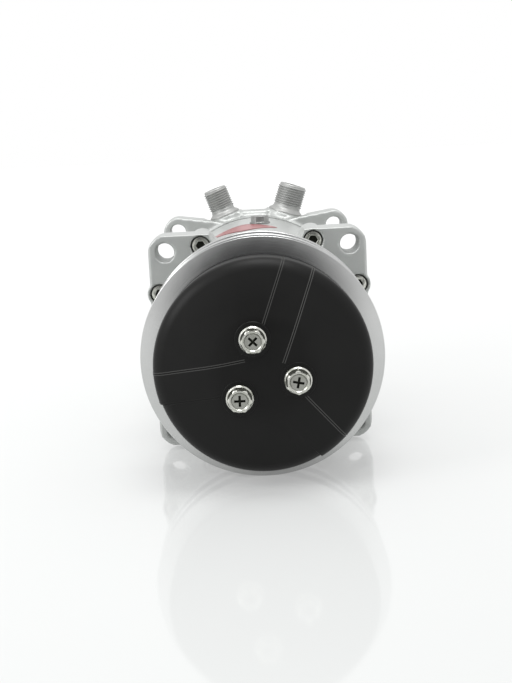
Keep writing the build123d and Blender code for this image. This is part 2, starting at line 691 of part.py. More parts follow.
piston_r = bore_d / 2 - running
ring_groove = 2.1
for i in range(cylinder_count):
    number = i + 1
    turn = 90 + 360 / cylinder_count * i
    ball_point = plate_plane.from_local_coords(Vector(*polar(ball_circle, turn), 0))
    bore_x, bore_z = polar(bore_circle, -turn)
    small_end = Vector(bore_x, ball_point.Y + rod_len, bore_z)
    rod_dir = small_end - ball_point

    with BuildPart() as rod_ball:
        with Locations(ball_point):
            Sphere(rod_ball_d / 2)
    finish(rod_ball, f"rod_ball_{number}")

    with BuildPart() as con_rod:
        with BuildSketch(Plane(origin=ball_point, z_dir=rod_dir)):
            Circle(rod_neck_d / 2)
        extrude(amount=rod_dir.length)
        with Locations(small_end):
            Sphere(small_ball_d / 2)
        with Locations(ball_point):
            Sphere(rod_ball_d / 2 + seat, mode=Mode.SUBTRACT)
    finish(con_rod, f"con_rod_{number}")

    with BuildPart() as piston:
        axis_plane = Plane(origin=small_end, x_dir=(1, 0, 0), z_dir=(0, 0, 1))
        piston_axis = Axis(small_end, (0, 1, 0))
        groove_at = crown_len - 5
        turned([(0, crown_len), (piston_r, crown_len), (piston_r, groove_at), (piston_r - 1.6, groove_at),
                (piston_r - 1.6, groove_at - ring_groove), (piston_r, groove_at - ring_groove),
                (piston_r, -skirt_len), (14.5, -skirt_len), (14.5, 9), (10.5, 9), (10.5, -4), (0, -4)],
               axis_plane, piston_axis)
        with Locations(small_end):
            Sphere(small_ball_d / 2 + seat, mode=Mode.SUBTRACT)
        with BuildSketch(Plane(origin=small_end, x_dir=(1, 0, 0), z_dir=(0, -1, 0))):
            Circle(rod_neck_d / 2 + 0.5)
        extrude(amount=10, mode=Mode.SUBTRACT)
        turned([(piston_r - 1.5, groove_at - 0.05), (piston_r, groove_at - 0.05),
                (piston_r, groove_at - ring_groove + 0.05), (piston_r - 1.5, groove_at - ring_groove + 0.05)],
               axis_plane, piston_axis)
    finish(piston, f"piston_{number}")

# ======================= valve stack =======================

bore_angles = [-90 - 360 / cylinder_count * i for i in range(cylinder_count)]
suction_points = [polar(suction_hole_r, a) for a in bore_angles]
discharge_points = [polar(discharge_hole_r, a) for a in bore_angles]

with BuildPart() as block_gasket:
    tube(block_end, gasket_t, body_r)
    drill(block_end, gasket_t, bore_d / 2 + 0.3, bore_points)
    drill(block_end, gasket_t, head_bolt_d / 2, head_bolt_points)
finish(block_gasket, "block_gasket")

with BuildPart() as suction_reed:
    tube(suction_reed_y, reed_t, body_r)
    drill(suction_reed_y, reed_t, head_bolt_d / 2, head_bolt_points)
    drill(suction_reed_y, reed_t, 3.4, discharge_points)
    with BuildSketch(across(suction_reed_y)):
        for a in bore_angles:
            with Locations(Location((*polar(suction_hole_r, a), 0), a)):
                SlotCenterToCenter(0.1, 11)
                SlotCenterToCenter(0.1, 9.6, mode=Mode.SUBTRACT)
                with Locations((-3.5, 0)):
                    Rectangle(7, 6, mode=Mode.SUBTRACT)
    extrude(amount=-reed_t, mode=Mode.SUBTRACT)
finish(suction_reed, "suction_reed")

with BuildPart() as valve_plate:
    tube(valve_plate_y, valve_plate_t, body_r)
    drill(valve_plate_y, valve_plate_t, head_bolt_d / 2, head_bolt_points)
    drill(valve_plate_y, valve_plate_t, 3.0, discharge_points + suction_points)
finish(valve_plate, "valve_plate")

for label, y, thickness, width in (("discharge_reed", plate_rear_y, reed_t, 8.0),
                                   ("reed_retainer", plate_rear_y + reed_t, retainer_t, 9.0)):
    with BuildPart() as star:
        with BuildSketch(across(y)):
            Circle(15)
            for a in bore_angles:
                with Locations(Location((*polar(discharge_hole_r / 2, a), 0), a)):
                    Rectangle(discharge_hole_r, width)
            with Locations(*discharge_points):
                Circle(width / 2)
        extrude(amount=-thickness)
    finish(star, label)

with BuildPart() as head_gasket:
    tube(plate_rear_y, gasket_t, body_r, annulus_out)
    tube(plate_rear_y, gasket_t, annulus_in, chamber_r)
    drill(plate_rear_y, gasket_t, head_bolt_d / 2 + 3, head_bolt_points, mode=Mode.ADD)
    drill(plate_rear_y, gasket_t, head_bolt_d / 2, head_bolt_points)
finish(head_gasket, "head_gasket")
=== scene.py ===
# %% [markdown]
# A car air-conditioning compressor, finished around its engineering model.
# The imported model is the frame: every size and place comes from it, and the
# pieces made here only give its solids the surface that the real metal has.

# %% Load the frame
import bpy, bmesh, json
from math import atan2, cos, degrees, hypot, pi, radians, sin
from mathutils import Matrix, Vector

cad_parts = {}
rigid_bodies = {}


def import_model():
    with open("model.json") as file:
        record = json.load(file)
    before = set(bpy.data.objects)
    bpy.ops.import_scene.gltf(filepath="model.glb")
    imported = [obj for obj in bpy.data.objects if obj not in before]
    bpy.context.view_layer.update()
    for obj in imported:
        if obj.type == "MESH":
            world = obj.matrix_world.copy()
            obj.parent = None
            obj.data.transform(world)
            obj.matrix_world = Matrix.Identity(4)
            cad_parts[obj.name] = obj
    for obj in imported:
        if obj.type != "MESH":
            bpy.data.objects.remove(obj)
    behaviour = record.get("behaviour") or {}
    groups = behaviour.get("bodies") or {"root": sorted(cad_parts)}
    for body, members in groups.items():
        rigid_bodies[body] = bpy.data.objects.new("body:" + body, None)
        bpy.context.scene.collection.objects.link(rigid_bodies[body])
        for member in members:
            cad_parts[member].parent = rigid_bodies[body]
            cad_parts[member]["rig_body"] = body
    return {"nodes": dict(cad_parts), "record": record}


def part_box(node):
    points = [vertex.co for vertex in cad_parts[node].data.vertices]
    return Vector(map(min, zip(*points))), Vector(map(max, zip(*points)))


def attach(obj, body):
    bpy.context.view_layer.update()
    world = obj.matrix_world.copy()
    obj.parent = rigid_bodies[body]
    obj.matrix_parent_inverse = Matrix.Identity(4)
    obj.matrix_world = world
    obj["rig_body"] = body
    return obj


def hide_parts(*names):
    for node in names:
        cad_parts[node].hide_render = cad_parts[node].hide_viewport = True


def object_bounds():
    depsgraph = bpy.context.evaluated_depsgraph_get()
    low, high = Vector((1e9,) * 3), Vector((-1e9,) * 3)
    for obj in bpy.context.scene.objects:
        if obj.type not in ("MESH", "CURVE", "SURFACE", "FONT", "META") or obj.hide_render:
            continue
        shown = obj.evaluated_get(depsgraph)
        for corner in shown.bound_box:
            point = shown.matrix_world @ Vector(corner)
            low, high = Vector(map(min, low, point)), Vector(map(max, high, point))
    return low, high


for leftover in list(bpy.data.objects):
    bpy.data.objects.remove(leftover)
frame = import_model()
cad_low, cad_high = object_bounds()
NODES = frame["nodes"]
MM = 0.001
print("frame:", len(NODES), "nodes, size in mm",
      [round(1000 * side, 1) for side in cad_high - cad_low])

# %% [markdown]
# Finishes are worked out with shader nodes. Written one node at a time they
# are hard to read, so a Wire carries a socket and the usual operators add the
# Math nodes, and a Finish holds one material and adds any other node.

# %% A wire between nodes, and a finish that owns them
class Wire:
    """One output socket, with arithmetic."""
    def __init__(self, finish, socket):
        self.finish, self.socket = finish, socket

    def __add__(self, other): return self.finish.maths("ADD", self, other)
    def __radd__(self, other): return self.finish.maths("ADD", other, self)
    def __sub__(self, other): return self.finish.maths("SUBTRACT", self, other)
    def __rsub__(self, other): return self.finish.maths("SUBTRACT", other, self)
    def __mul__(self, other): return self.finish.maths("MULTIPLY", self, other)
    def __rmul__(self, other): return self.finish.maths("MULTIPLY", other, self)
    def __pow__(self, other): return self.finish.maths("POWER", self, other)
    def __gt__(self, other): return self.finish.maths("GREATER_THAN", self, other)
    def __lt__(self, other): return self.finish.maths("LESS_THAN", self, other)


class Finish:
    """One material: a Principled shader and the nodes that feed it."""
    def __init__(self, name, **fixed):
        self.material = bpy.data.materials.new(name)
        self.material.use_nodes = True
        self.tree = self.material.node_tree
        self.shader = self.tree.nodes["Principled BSDF"]
        for socket, value in fixed.items():
            self.shader.inputs[socket.replace("_", " ")].default_value = value
        self.place = self.node("ShaderNodeTexCoord", out="Object")

    def node(self, kind, settings=None, inputs=None, out=0):
        made = self.tree.nodes.new(kind)
        for key, value in (settings or {}).items():
            if key == "stops":
                ramp = made.color_ramp.elements
                while len(ramp) < len(value):
                    ramp.new(0.5)
                for stop, (at, shade) in zip(ramp, value):
                    stop.position, stop.color = at, (shade, shade, shade, 1)
            else:
                setattr(made, key, value)
        for key, value in (inputs or {}).items():
            if isinstance(value, Wire):
                self.tree.links.new(value.socket, made.inputs[key])
            else:
                made.inputs[key].default_value = value
        return Wire(self, made.outputs[out])

    def maths(self, operation, first, second):
        return self.node("ShaderNodeMath", {"operation": operation}, {0: first, 1: second})

    def noise(self, per_mm, detail=3.0, roughness=0.55):
        return self.node("ShaderNodeTexNoise", {}, {
            "Vector": self.place, "Scale": 1000.0 * per_mm,
            "Detail": detail, "Roughness": roughness})

    def ramp(self, value, *stops):
        return self.node("ShaderNodeValToRGB", {"stops": stops}, {"Fac": value})

    def mix(self, factor, first, second):
        """Mixes two colours, each a wire or three numbers."""
        first, second = [c if isinstance(c, Wire) else (*c, 1) for c in (first, second)]
        return self.node("ShaderNodeMix", {"data_type": "RGBA"},
                         {"Factor": factor, 6: first, 7: second}, out=2)

    def bump(self, height, depth, strength=1.0):
        self.feed("Normal", self.node("ShaderNodeBump", {}, {
            "Height": height, "Distance": depth * MM, "Strength": strength}))

    def feed(self, socket, wire):
        self.tree.links.new(wire.socket, self.shader.inputs[socket])

    def round_axis(self):
        """Distance from the shaft's line in mm, and the height along it."""
        parts = self.node("ShaderNodeSeparateXYZ", {}, {"Vector": self.place})
        x, y, z = (Wire(self, out) for out in parts.socket.node.outputs)
        return 1000 * (x * x + z * z) ** 0.5, 1000 * y

print("Wire and Finish are ready")

# %% [markdown]
# Die-cast aluminium leaves the mould with a fine skin, a little mottled, and
# is then shot-blasted. A grain for the skin and a slow blotch for the mottle
# give both, and the roughness follows the grain so that it glints unevenly.

# %% Cast and machined aluminium
def cast_skin(name, dark, light, metal, rough, depth):
    finish = Finish(name, Metallic=metal)
    grain = finish.noise(2.2, 5.0)
    blotch = finish.noise(0.09, 3.0)
    finish.feed("Base Color", finish.mix(0.55 * blotch + 0.45 * grain, dark, light))
    finish.feed("Roughness", rough + 0.22 * (grain - 0.5) + 0.12 * (blotch - 0.5))
    finish.bump(grain + 0.6 * finish.noise(0.7, 2.0), depth, 0.6)
    return finish.material

def turned(name, shade, rough, ring_mm, depth, metal=1.0):
    """Metal cut in a lathe: fine rings round the shaft's line."""
    finish = Finish(name, Metallic=metal)
    radius, height = finish.round_axis()
    cut = finish.node("ShaderNodeTexNoise", {"noise_dimensions": "1D"}, {
        "W": (radius + 0.73 * height) * (1 / ring_mm), "Scale": 1.0, "Detail": 3.0})
    stain = finish.noise(0.12, 3.0)
    darker = tuple(0.86 * c for c in shade)
    finish.feed("Base Color", finish.mix(0.5 * cut + 0.5 * stain, darker, shade))
    finish.feed("Roughness", rough + 0.16 * (cut - 0.5) + 0.10 * (stain - 0.5))
    finish.bump(cut, depth, 0.5)
    return finish.material

FINISHES = {
    "cast_aluminium": cast_skin("cast_aluminium_blasted", dark=(0.41, 0.425, 0.415),
                                light=(0.60, 0.615, 0.60), metal=0.6, rough=0.44, depth=0.12),
    "cast_iron": cast_skin("cast_iron_bare", dark=(0.10, 0.10, 0.10),
                           light=(0.20, 0.19, 0.18), metal=0.7, rough=0.55, depth=0.15),
    "machined_aluminium": turned("aluminium_turned", shade=(0.47, 0.475, 0.465),
                                 rough=0.50, ring_mm=0.35, depth=0.015, metal=0.8),
}
print(len(FINISHES), "finishes so far")

# %% [markdown]
# The pulley is turned all over. Its belt grooves are painted dark as painted shade and left rougher, which
# is why the rims between them stand out bright.

# %% Pulley steel
GROOVE_FLOOR, GROOVE_LIP = 53.5, 65.2      # radii between which the grooves get painted shade
GROOVE_FROM, GROOVE_TO = -58.0, -28.9      # and the stretch along the shaft

def pulley_skin():
    finish = Finish("pulley_steel_turned", Metallic=1.0)
    radius, height = finish.round_axis()
    # Painted shade: the grooves' colour is darkened to stand in for the shade that falls in them; they are
    # also made rougher.
    painted_groove_shade = ((radius > GROOVE_FLOOR) * (radius < GROOVE_LIP)
            * (height > GROOVE_FROM) * (height < GROOVE_TO))
    rings = finish.node("ShaderNodeTexNoise", {"noise_dimensions": "1D"},
                        {"W": radius * 1.7, "Scale": 1.0, "Detail": 2.0})
    stain = finish.noise(0.1, 3.0)
    bright = finish.mix(0.5 * rings + 0.5 * stain, (0.50, 0.505, 0.50), (0.60, 0.605, 0.60))
    finish.feed("Base Color", finish.mix(painted_groove_shade, bright, (0.07, 0.075, 0.078)))
    finish.feed("Roughness", 0.22 + 0.06 * (rings - 0.5) + 0.05 * (stain - 0.5) + 0.25 * painted_groove_shade)
    finish.bump(rings, 0.004, 0.4)
    return finish.material

FINISHES["pulley_steel"] = pulley_skin()
print("pulley steel ready")

# %% [markdown]
# Plated screws are bright with a faint warm and green tint where the plating
# pools. Ground steel, springs and gears differ in tone and gloss only, so
# one function makes them all from a shade, a roughness and a scratch size.
# An attribute on the faces of a drive recess and of the creases round it darkens them as painted shade and
# makes them rougher.

# %% Plated and ground steels
def steel(name, shade, tint, rough, grain_per_mm):
    finish = Finish(name, Metallic=1.0)
    pool = finish.noise(0.35, 3.0)
    fine = finish.noise(grain_per_mm, 4.0)
    grime = finish.node("ShaderNodeAttribute", {"attribute_name": "grime"}, out="Fac")
    unshaded = finish.mix(finish.ramp(pool, (0.35, 0.0), (0.7, 1.0)), shade, tint)
    # Painted shade: the marked faces are darkened to stand in for the shade in recesses and creases.
    finish.feed("Base Color", finish.mix(grime, unshaded, (0.035, 0.037, 0.03)))
    finish.feed("Roughness", rough + 0.18 * (fine - 0.5) + 0.1 * (pool - 0.5) + 0.25 * grime)
    finish.bump(fine, 0.02, 0.35)
    return finish.material

FINISHES |= {
    "zinc_steel": steel("zinc_plated_steel", (0.66, 0.66, 0.62), (0.58, 0.59, 0.53), 0.26, 2.5),
    "plated_steel": steel("dull_plated_steel", (0.34, 0.345, 0.34), (0.27, 0.27, 0.26), 0.38, 2.0),
    "bearing_steel": steel("ground_bearing_steel", (0.66, 0.66, 0.67), (0.60, 0.61, 0.63), 0.18, 4.0),
    "gear_steel": steel("forged_gear_steel", (0.34, 0.34, 0.35), (0.26, 0.25, 0.25), 0.42, 1.4),
    "spring_steel": steel("blued_spring_steel", (0.22, 0.23, 0.27), (0.30, 0.28, 0.27), 0.32, 3.0),
}
print(len(FINISHES), "finishes so far")

# %% [markdown]
# The clutch cover is a matt black moulding with a very fine spark-eroded
# grain. Rubber, carbon, gasket board and coil resin are all dull and dark or
# greenish, with a grain of their own.

# %% Black mouldings, rubber, board, resin and carbon
def dull(name, dark, light, rough, grain_per_mm, depth, blotch_per_mm=0.06, spread=0.12):
    finish = Finish(name, Metallic=0.0)
    grain = finish.noise(grain_per_mm, 4.0, roughness=0.65)
    blotch = finish.noise(blotch_per_mm, 4.0)
    finish.feed("Base Color", finish.mix(0.5 * grain + 0.5 * blotch, dark, light))
    finish.feed("Roughness", rough + spread * (grain - 0.5) + spread * (blotch - 0.5))
    finish.bump(grain, depth, 0.5)
    return finish.material

FINISHES |= {
    "black_rubber": dull("black_rubber", (0.012, 0.012, 0.012), (0.030, 0.029, 0.028), 0.62, 1.6, 0.04),
    "gasket": dull("gasket_board", (0.09, 0.10, 0.09), (0.17, 0.18, 0.16), 0.75, 1.8, 0.06),
    "seal_carbon": dull("seal_carbon", (0.02, 0.02, 0.022), (0.05, 0.05, 0.052), 0.35, 3.0, 0.01),
    "coil_resin": dull("coil_resin", (0.05, 0.075, 0.05), (0.10, 0.13, 0.09), 0.45, 1.2, 0.05),
}
print(len(FINISHES), "finishes so far")

# %% [markdown]
# On the cover the raised lips beside each groove are painted greyer than the rest, a painted highlight
# where their edges catch the overhead light. The mesh carries that as an attribute on its faces.

# %% Moulded nylon
def nylon_skin():
    finish = Finish("black_moulded_nylon", Metallic=0.0)
    finish.shader.inputs["Specular IOR Level"].default_value = 0.17
    grain = finish.noise(2.6, 4.0, roughness=0.65)
    blotch = finish.noise(0.06, 4.0)
    plain = finish.mix(0.5 * grain + 0.5 * blotch, (0.003, 0.003, 0.003), (0.011, 0.011, 0.0105))
    highlighted_lip = finish.node("ShaderNodeAttribute", {"attribute_name": "lip"}, out="Fac")
    # Painted highlight: the marked lips are lightened to grey as if their edges caught the light.
    finish.feed("Base Color", finish.mix(highlighted_lip, plain, (0.065, 0.065, 0.063)))
    finish.feed("Roughness", 0.40 + 0.12 * (grain - 0.5) + 0.1 * (blotch - 0.5))
    finish.bump(grain, 0.05, 0.5)
    return finish.material

FINISHES["black_nylon"] = nylon_skin()
print("nylon ready")

# %% [markdown]
# The label is a glossy red film on the body, with no lettering. A darker
# band fills each of the two corners that point along the shaft.

# %% Label film
def label_film():
    film = Finish("red_label_film", Metallic=0.0)
    low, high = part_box("blank_label")
    y = film.node("ShaderNodeSeparateXYZ", {}, {"Vector": film.place}, out="Y")
    from_front = (y - low.y) * (1 / (high.y - low.y))
    band = film.ramp(from_front, (0.0, 1.0), (0.16, 1.0), (0.17, 0.0), (0.83, 0.0), (0.84, 1.0))
    weave = film.noise(0.8, 3.0)
    red = film.mix(weave, (0.29, 0.085, 0.09), (0.36, 0.115, 0.115))
    film.feed("Base Color", film.mix(band, red, (0.22, 0.02, 0.025)))
    film.feed("Roughness", 0.25 + 0.15 * weave)
    film.bump(weave, 0.01, 0.3)
    return film.material

FINISHES["red_label"] = label_film()
for name, node in NODES.items():
    node.material_slots[0].material = FINISHES[node.material_slots[0].material.name]
print("every node has one of", len(FINISHES), "finishes")

# %% [markdown]
# A casting has no sharp edge: the mould is radiused everywhere. A voxel
# remesh of a copy rounds each edge by about one voxel, and a light smoothing
# takes out the steps that the voxels leave.

# %% Copies of the frame's solids
WELD = 0.002           # corners of a copied solid nearer than this are one
FLAT_ANGLE = 0.4       # degrees within which neighbouring faces are one flat

def keep(piece, node):
    """Gives a finished piece its node's body and hides the node."""
    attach(piece, NODES[node]["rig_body"])
    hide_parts(node)
    return piece

def new_piece(name, bm, finish, sharp=32):
    mesh = bpy.data.meshes.new(name)
    bm.to_mesh(mesh)
    bm.free()
    mesh.shade_smooth()
    mesh.set_sharp_from_angle(angle=radians(sharp))
    mesh.materials.append(FINISHES[finish])
    piece = bpy.data.objects.new(name, mesh)
    bpy.context.scene.collection.objects.link(piece)
    return piece

def welded_copy(node):
    bm = bmesh.new()
    bm.from_mesh(NODES[node].data)
    bmesh.ops.remove_doubles(bm, verts=bm.verts, dist=WELD * MM)
    return bm

def applied(piece):
    """Bakes a piece's modifiers into its mesh."""
    seen = piece.evaluated_get(bpy.context.evaluated_depsgraph_get())
    mesh = bpy.data.meshes.new_from_object(seen)
    piece.modifiers.clear()
    piece.data = mesh
    return mesh

def cast_copy(node, voxel):
    """A copy whose edges are rounded, kept inside the solid's own box."""
    piece = new_piece(node + "_casting", welded_copy(node), "cast_aluminium")
    remesh = piece.modifiers.new("mould", "REMESH")
    remesh.mode, remesh.voxel_size, remesh.use_smooth_shade = "VOXEL", voxel * MM, True
    soften = piece.modifiers.new("soften", "SMOOTH")
    soften.factor, soften.iterations = 0.5, 2
    mesh = applied(piece)
    low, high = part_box(node)
    for corner in mesh.vertices:
        for axis in range(3):
            corner.co[axis] = min(max(corner.co[axis], low[axis]), high[axis])
    mesh.shade_smooth()
    print(piece.name, "faces", len(mesh.polygons))
    return keep(piece, node)

for casting, voxel in (("front_housing", 1.1), ("cylinder_block", 1.25), ("rear_head", 1.1)):
    cast_copy(casting, voxel)

# %% [markdown]
# Turned and forged parts keep crisp edges with a tiny break. A copy of the
# solid is merged, its flat faces dissolved into single ones, and the bevel
# then runs along the real edges only.

# %% Parts with broken edges
EDGE_BREAK, EDGE_ANGLE = 0.35, 38          # mm taken off an edge sharper than this many degrees
BOLT_CIRCLE, BOLT_FROM_TOP = 65.0, (30.3, 63.5)
SOCKET_R, SOCKET_TOP, SOCKET_DEPTH = 2.95, 0.4, 4.2

def dressed(node, finish):
    bm = welded_copy(node)
    bmesh.ops.dissolve_limit(bm, angle_limit=radians(FLAT_ANGLE), verts=bm.verts, edges=bm.edges)
    edges = [e for e in bm.edges if len(e.link_faces) == 2 and e.calc_face_angle() > radians(EDGE_ANGLE)]
    bmesh.ops.bevel(bm, geom=edges, affect="EDGES", offset=EDGE_BREAK * MM, offset_type="OFFSET",
                    segments=2, profile=0.5, material=-1, clamp_overlap=True)
    piece = new_piece(node + "_finished", bm, finish, sharp=50)
    print(piece.name, "faces", len(piece.data.polygons))
    return keep(piece, node)

def shade_sockets(mesh):
    """Marks the faces inside each housing bolt's socket for painted shade."""
    axes = [(sx * BOLT_CIRCLE * sin(radians(a)), sz * BOLT_CIRCLE * cos(radians(a)))
            for a in BOLT_FROM_TOP for sx in (-1, 1) for sz in (-1, 1)]
    head_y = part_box("housing_bolts")[0].y / MM
    # The attribute holds painted shade for the faces inside each socket.
    grime = mesh.attributes.new("grime", "FLOAT", "FACE")
    for face in mesh.polygons:
        x, y, z = face.center / MM
        deep = SOCKET_TOP < y - head_y < SOCKET_DEPTH
        near = min(hypot(x - ax, z - az) for ax, az in axes) < SOCKET_R
        grime.data[face.index].value = 1.0 if deep and near else 0.0

shade_sockets(dressed("housing_bolts", "zinc_steel").data)
dressed("head_bolts", "zinc_steel")
dressed("oil_filler_plug", "plated_steel")

# %% [markdown]
# A pulley, a fitting and a cover are all bodies of revolution. Their outline
# is a short line of points whose corners are bevelled, and one spin about the
# axis makes the whole skin.

# %% Spinning an outline
def outline(points, rounding):
    """Edges through (radius, height) points in mm, each corner rounded."""
    bm = bmesh.new()
    rail = [bm.verts.new((r * MM, y * MM, 0.0)) for r, y in points]
    for first, second in zip(rail, rail[1:]):
        bm.edges.new((first, second))
    for corner, radius in zip(rail[1:-1], rounding):
        if radius:
            bmesh.ops.bevel(bm, geom=[corner], affect="VERTICES", offset=radius * MM,
                            segments=3, profile=0.5, material=-1)
    return bm

def spun(points, rounding, steps):
    """The outline turned once round the Y axis, its poles closed."""
    bm = outline(points, rounding)
    bmesh.ops.spin(bm, geom=bm.verts[:] + bm.edges[:], cent=(0, 0, 0), axis=(0, 1, 0),
                   angle=2 * pi, steps=steps, use_merge=True)
    bmesh.ops.remove_doubles(bm, verts=bm.verts, dist=0.004 * MM)
    bmesh.ops.recalc_face_normals(bm, faces=bm.faces)
    return bm

print("spinning is ready")

# %% [markdown]
# The belt pulley is turned from a steel blank: two V grooves, a rim face that
# falls away slightly, and a thin web behind the clutch plate. Its face is the
# widest bright surface, so its slope and its rounded rims matter most.

# %% Pulley
pulley_low, pulley_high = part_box("pulley")
FACE_Y, RIM_R = pulley_low.y / MM, pulley_high.x / MM
FACE_FLAT_R, FACE_FALL = 56.9, 1.6         # beyond this radius the face drops back by so much
GROOVE_MIDS, GROOVE_TOP, GROOVE_DEPTH, GROOVE_FOOT = (-51.75, -35.25), 6.35, 11.5, 2.61
SLOT_IN, SLOT_OUT, SLOT_FROM, SLOT_TO = 38.5, 41.5, 6, 84
DISC_T, CORE_R, LIP_H, LIP_T = 6.0, 48.8, 2.0, 4.0
BORE_R, TUBE_R, TUBE_END = 27.5, 31.5, -34.5
print("pulley face at", round(FACE_Y, 2), "rim radius", round(RIM_R, 2))

def pulley_outline():
    """(radius, place along the shaft, corner rounding) round the section."""
    inner = BORE_R - LIP_H
    back = pulley_high.y / MM
    line = [(inner, FACE_Y, 0.2), (SLOT_IN, FACE_Y, 0), (SLOT_OUT, FACE_Y, 0),
            (FACE_FLAT_R, FACE_Y, 0.3), (RIM_R, FACE_Y + FACE_FALL, 0.45)]
    for middle in GROOVE_MIDS:
        line += [(RIM_R, middle - GROOVE_TOP, 0.5), (RIM_R - GROOVE_DEPTH, middle - GROOVE_FOOT, 0.6),
                 (RIM_R - GROOVE_DEPTH, middle + GROOVE_FOOT, 0.6), (RIM_R, middle + GROOVE_TOP, 0.5)]
    line += [(RIM_R, back, 0.5), (CORE_R, back, 0.5), (CORE_R, FACE_Y + DISC_T, 1.0),
             (SLOT_OUT, FACE_Y + DISC_T, 0), (SLOT_IN, FACE_Y + DISC_T, 0), (TUBE_R, FACE_Y + DISC_T, 0.8),
             (TUBE_R, TUBE_END, 0.3), (BORE_R, TUBE_END, 0.3), (BORE_R, FACE_Y + LIP_T, 0),
             (inner, FACE_Y + LIP_T, 0), (inner, FACE_Y, 0)]
    return line

def cut_slots(bm):
    """Four curved slots through the disc, with bridges between them."""
    for quarter in range(4):
        loops = []
        for y in (FACE_Y, FACE_Y + DISC_T):
            faces = []
            for face in bm.faces:
                middle = face.calc_center_median() / MM
                turn = (degrees(atan2(middle.z, middle.x)) - 90 * quarter) % 360
                in_slot = SLOT_IN < hypot(middle.x, middle.z) < SLOT_OUT and SLOT_FROM < turn < SLOT_TO
                if in_slot and abs(middle.y - y) < 0.1:
                    faces.append(face)
            rim = {e for f in faces for e in f.edges if sum(g in faces for g in e.link_faces) == 1}
            bmesh.ops.delete(bm, geom=faces, context="FACES")
            loops += [e for e in rim if e.is_valid]
        bmesh.ops.bridge_loops(bm, edges=loops)

def pulley_blank():
    line = pulley_outline()
    bm = spun([(r, y) for r, y, _ in line], [rounding for _, _, rounding in line[1:-1]], 192)
    cut_slots(bm)
    bmesh.ops.recalc_face_normals(bm, faces=bm.faces)
    return bm

pulley = new_piece("pulley_turned", pulley_blank(), "pulley_steel", sharp=40)
keep(pulley, "pulley")
print("pulley faces", len(pulley.data.polygons))

# %% [markdown]
# Both fittings carry a real thread: one V ridge swept along a helix. A spin
# that also climbs draws it in one go, round a plain core. The ports are
# declared in the record, which gives each one's place, lean and radius.

# %% Threaded fittings
PITCH, RIDGE, CREST_GAP, ROOT_SUNK, STEPS_PER_TURN = 1.6, 0.9, 0.05, 0.15, 48
COLLAR, COLLAR_H, NECK, SEAT_DEPTH, TOP_LAND = 2.0, 1.0, 0.6, 5.0, 1.0

def cut_thread(bm, radius, low, high):
    """Sweeps one ridge up a helix; its crest is a sixth of the pitch wide."""
    turns = int((high - low) / PITCH - 1)
    root, crest = radius - RIDGE - ROOT_SUNK, radius - CREST_GAP
    rail = [bm.verts.new((r * MM, y * MM, 0)) for r, y in (
        (root, low), (crest, low + 0.42 * PITCH), (crest, low + 0.58 * PITCH), (root, low + PITCH))]
    ridge = bm.faces.new(rail)
    bmesh.ops.spin(bm, geom=[ridge, *ridge.edges, *ridge.verts], cent=(0, 0, 0), axis=(0, 1, 0),
                   dvec=(0, PITCH * MM / STEPS_PER_TURN, 0), angle=2 * pi * turns,
                   steps=STEPS_PER_TURN * turns)

def fitting(node, port, bore):
    lean = atan2(port["axis"][0], port["axis"][2])
    middle = hypot(port["pos_m"][0], port["pos_m"][2]) / MM
    radius, half = port["dims"]["r_mm"], port["dims"]["length_mm"] / 2
    foot, seat_r = middle - half, middle - half - SEAT_DEPTH
    top, core = middle + half + TOP_LAND, radius - RIDGE
    bm = spun([(bore, top), (core - 0.4, top), (core, top - 0.7), (core, foot), (radius - NECK, foot - 0.4),
               (radius - NECK, foot - 2.0), (radius + COLLAR, seat_r + COLLAR_H),
               (radius + COLLAR, seat_r), (bore, seat_r), (bore, top)],
              (0.2, 0, 0, 0.2, 1.0, 0.3, 0, 0), 72)
    cut_thread(bm, radius, foot - 0.4, top - 0.5)
    bmesh.ops.recalc_face_normals(bm, faces=bm.faces)
    place = (Matrix.Translation((0, port["pos_m"][1], 0)) @ Matrix.Rotation(lean, 4, "Y")
             @ Matrix.Rotation(pi / 2, 4, "X"))
    bmesh.ops.transform(bm, matrix=place, verts=bm.verts)
    piece = new_piece(node + "_threaded", bm, "machined_aluminium", sharp=28)
    print(piece.name, "lean", round(degrees(lean), 1), "faces", len(piece.data.polygons))
    return keep(piece, node)

PORTS = {m["name"]: m for m in frame["record"]["mounts"] if m["name"].endswith("_port")}
fitting("suction_fitting", PORTS["suction_port"], 6.0)
fitting("discharge_fitting", PORTS["discharge_port"], 5.0)

# %% [markdown]
# The clutch cover is one shallow black moulding: a flat seat for the screws,
# a cone, a rounded shoulder and a short skirt. Three lanes run out from the
# seat to the rim between moulded grooves. It is spun, then plane cuts mark
# the lanes, and only the faces between two cuts are pressed in.

# %% Cover shell
SCREW_HEAD_H = 6.3
SEAT_Y, SKIRT_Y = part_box("cover_screws")[0].y / MM + SCREW_HEAD_H, -61.0
LANES = (68.8, 188.8, 308.8)
LANE_HALF, GROOVE_W, LIP_W, LIP_RISE = 7.8, 0.6, 0.5, 0.12
LIP_START, GROOVE_END, LIP_END = LANE_HALF - LIP_W, LANE_HALF + GROOVE_W, LANE_HALF + GROOVE_W + LIP_W
DEEP_START, SCREW_START = 8.0, 21.0
SCREW_RING, SCREW_ANGLES = 18.0, (105.0, 225.0, -15.0)
SECTOR_FROM, SECTOR_RUN, SECTOR_DROP = 26.0, 30.0, 0.9

# A groove starts at a screw or deeper in, near the seat's middle. Each row gives its lane, side, depth and
# start, and how strongly its lips are painted light, a painted highlight.
GROOVES = ((68.8, 1, 0.25, SCREW_START, 0.75), (68.8, -1, 0.35, DEEP_START, 1.0),
           (188.8, -1, 0.35, DEEP_START, 0.8), (308.8, 1, 0.4, SCREW_START, 1.2),
           (188.8, 1, 0.06, SCREW_START, 0.06))

def lane_axes(angle):
    turn = radians(angle)
    return Vector((cos(turn), 0, sin(turn))), Vector((-sin(turn), 0, cos(turn)))

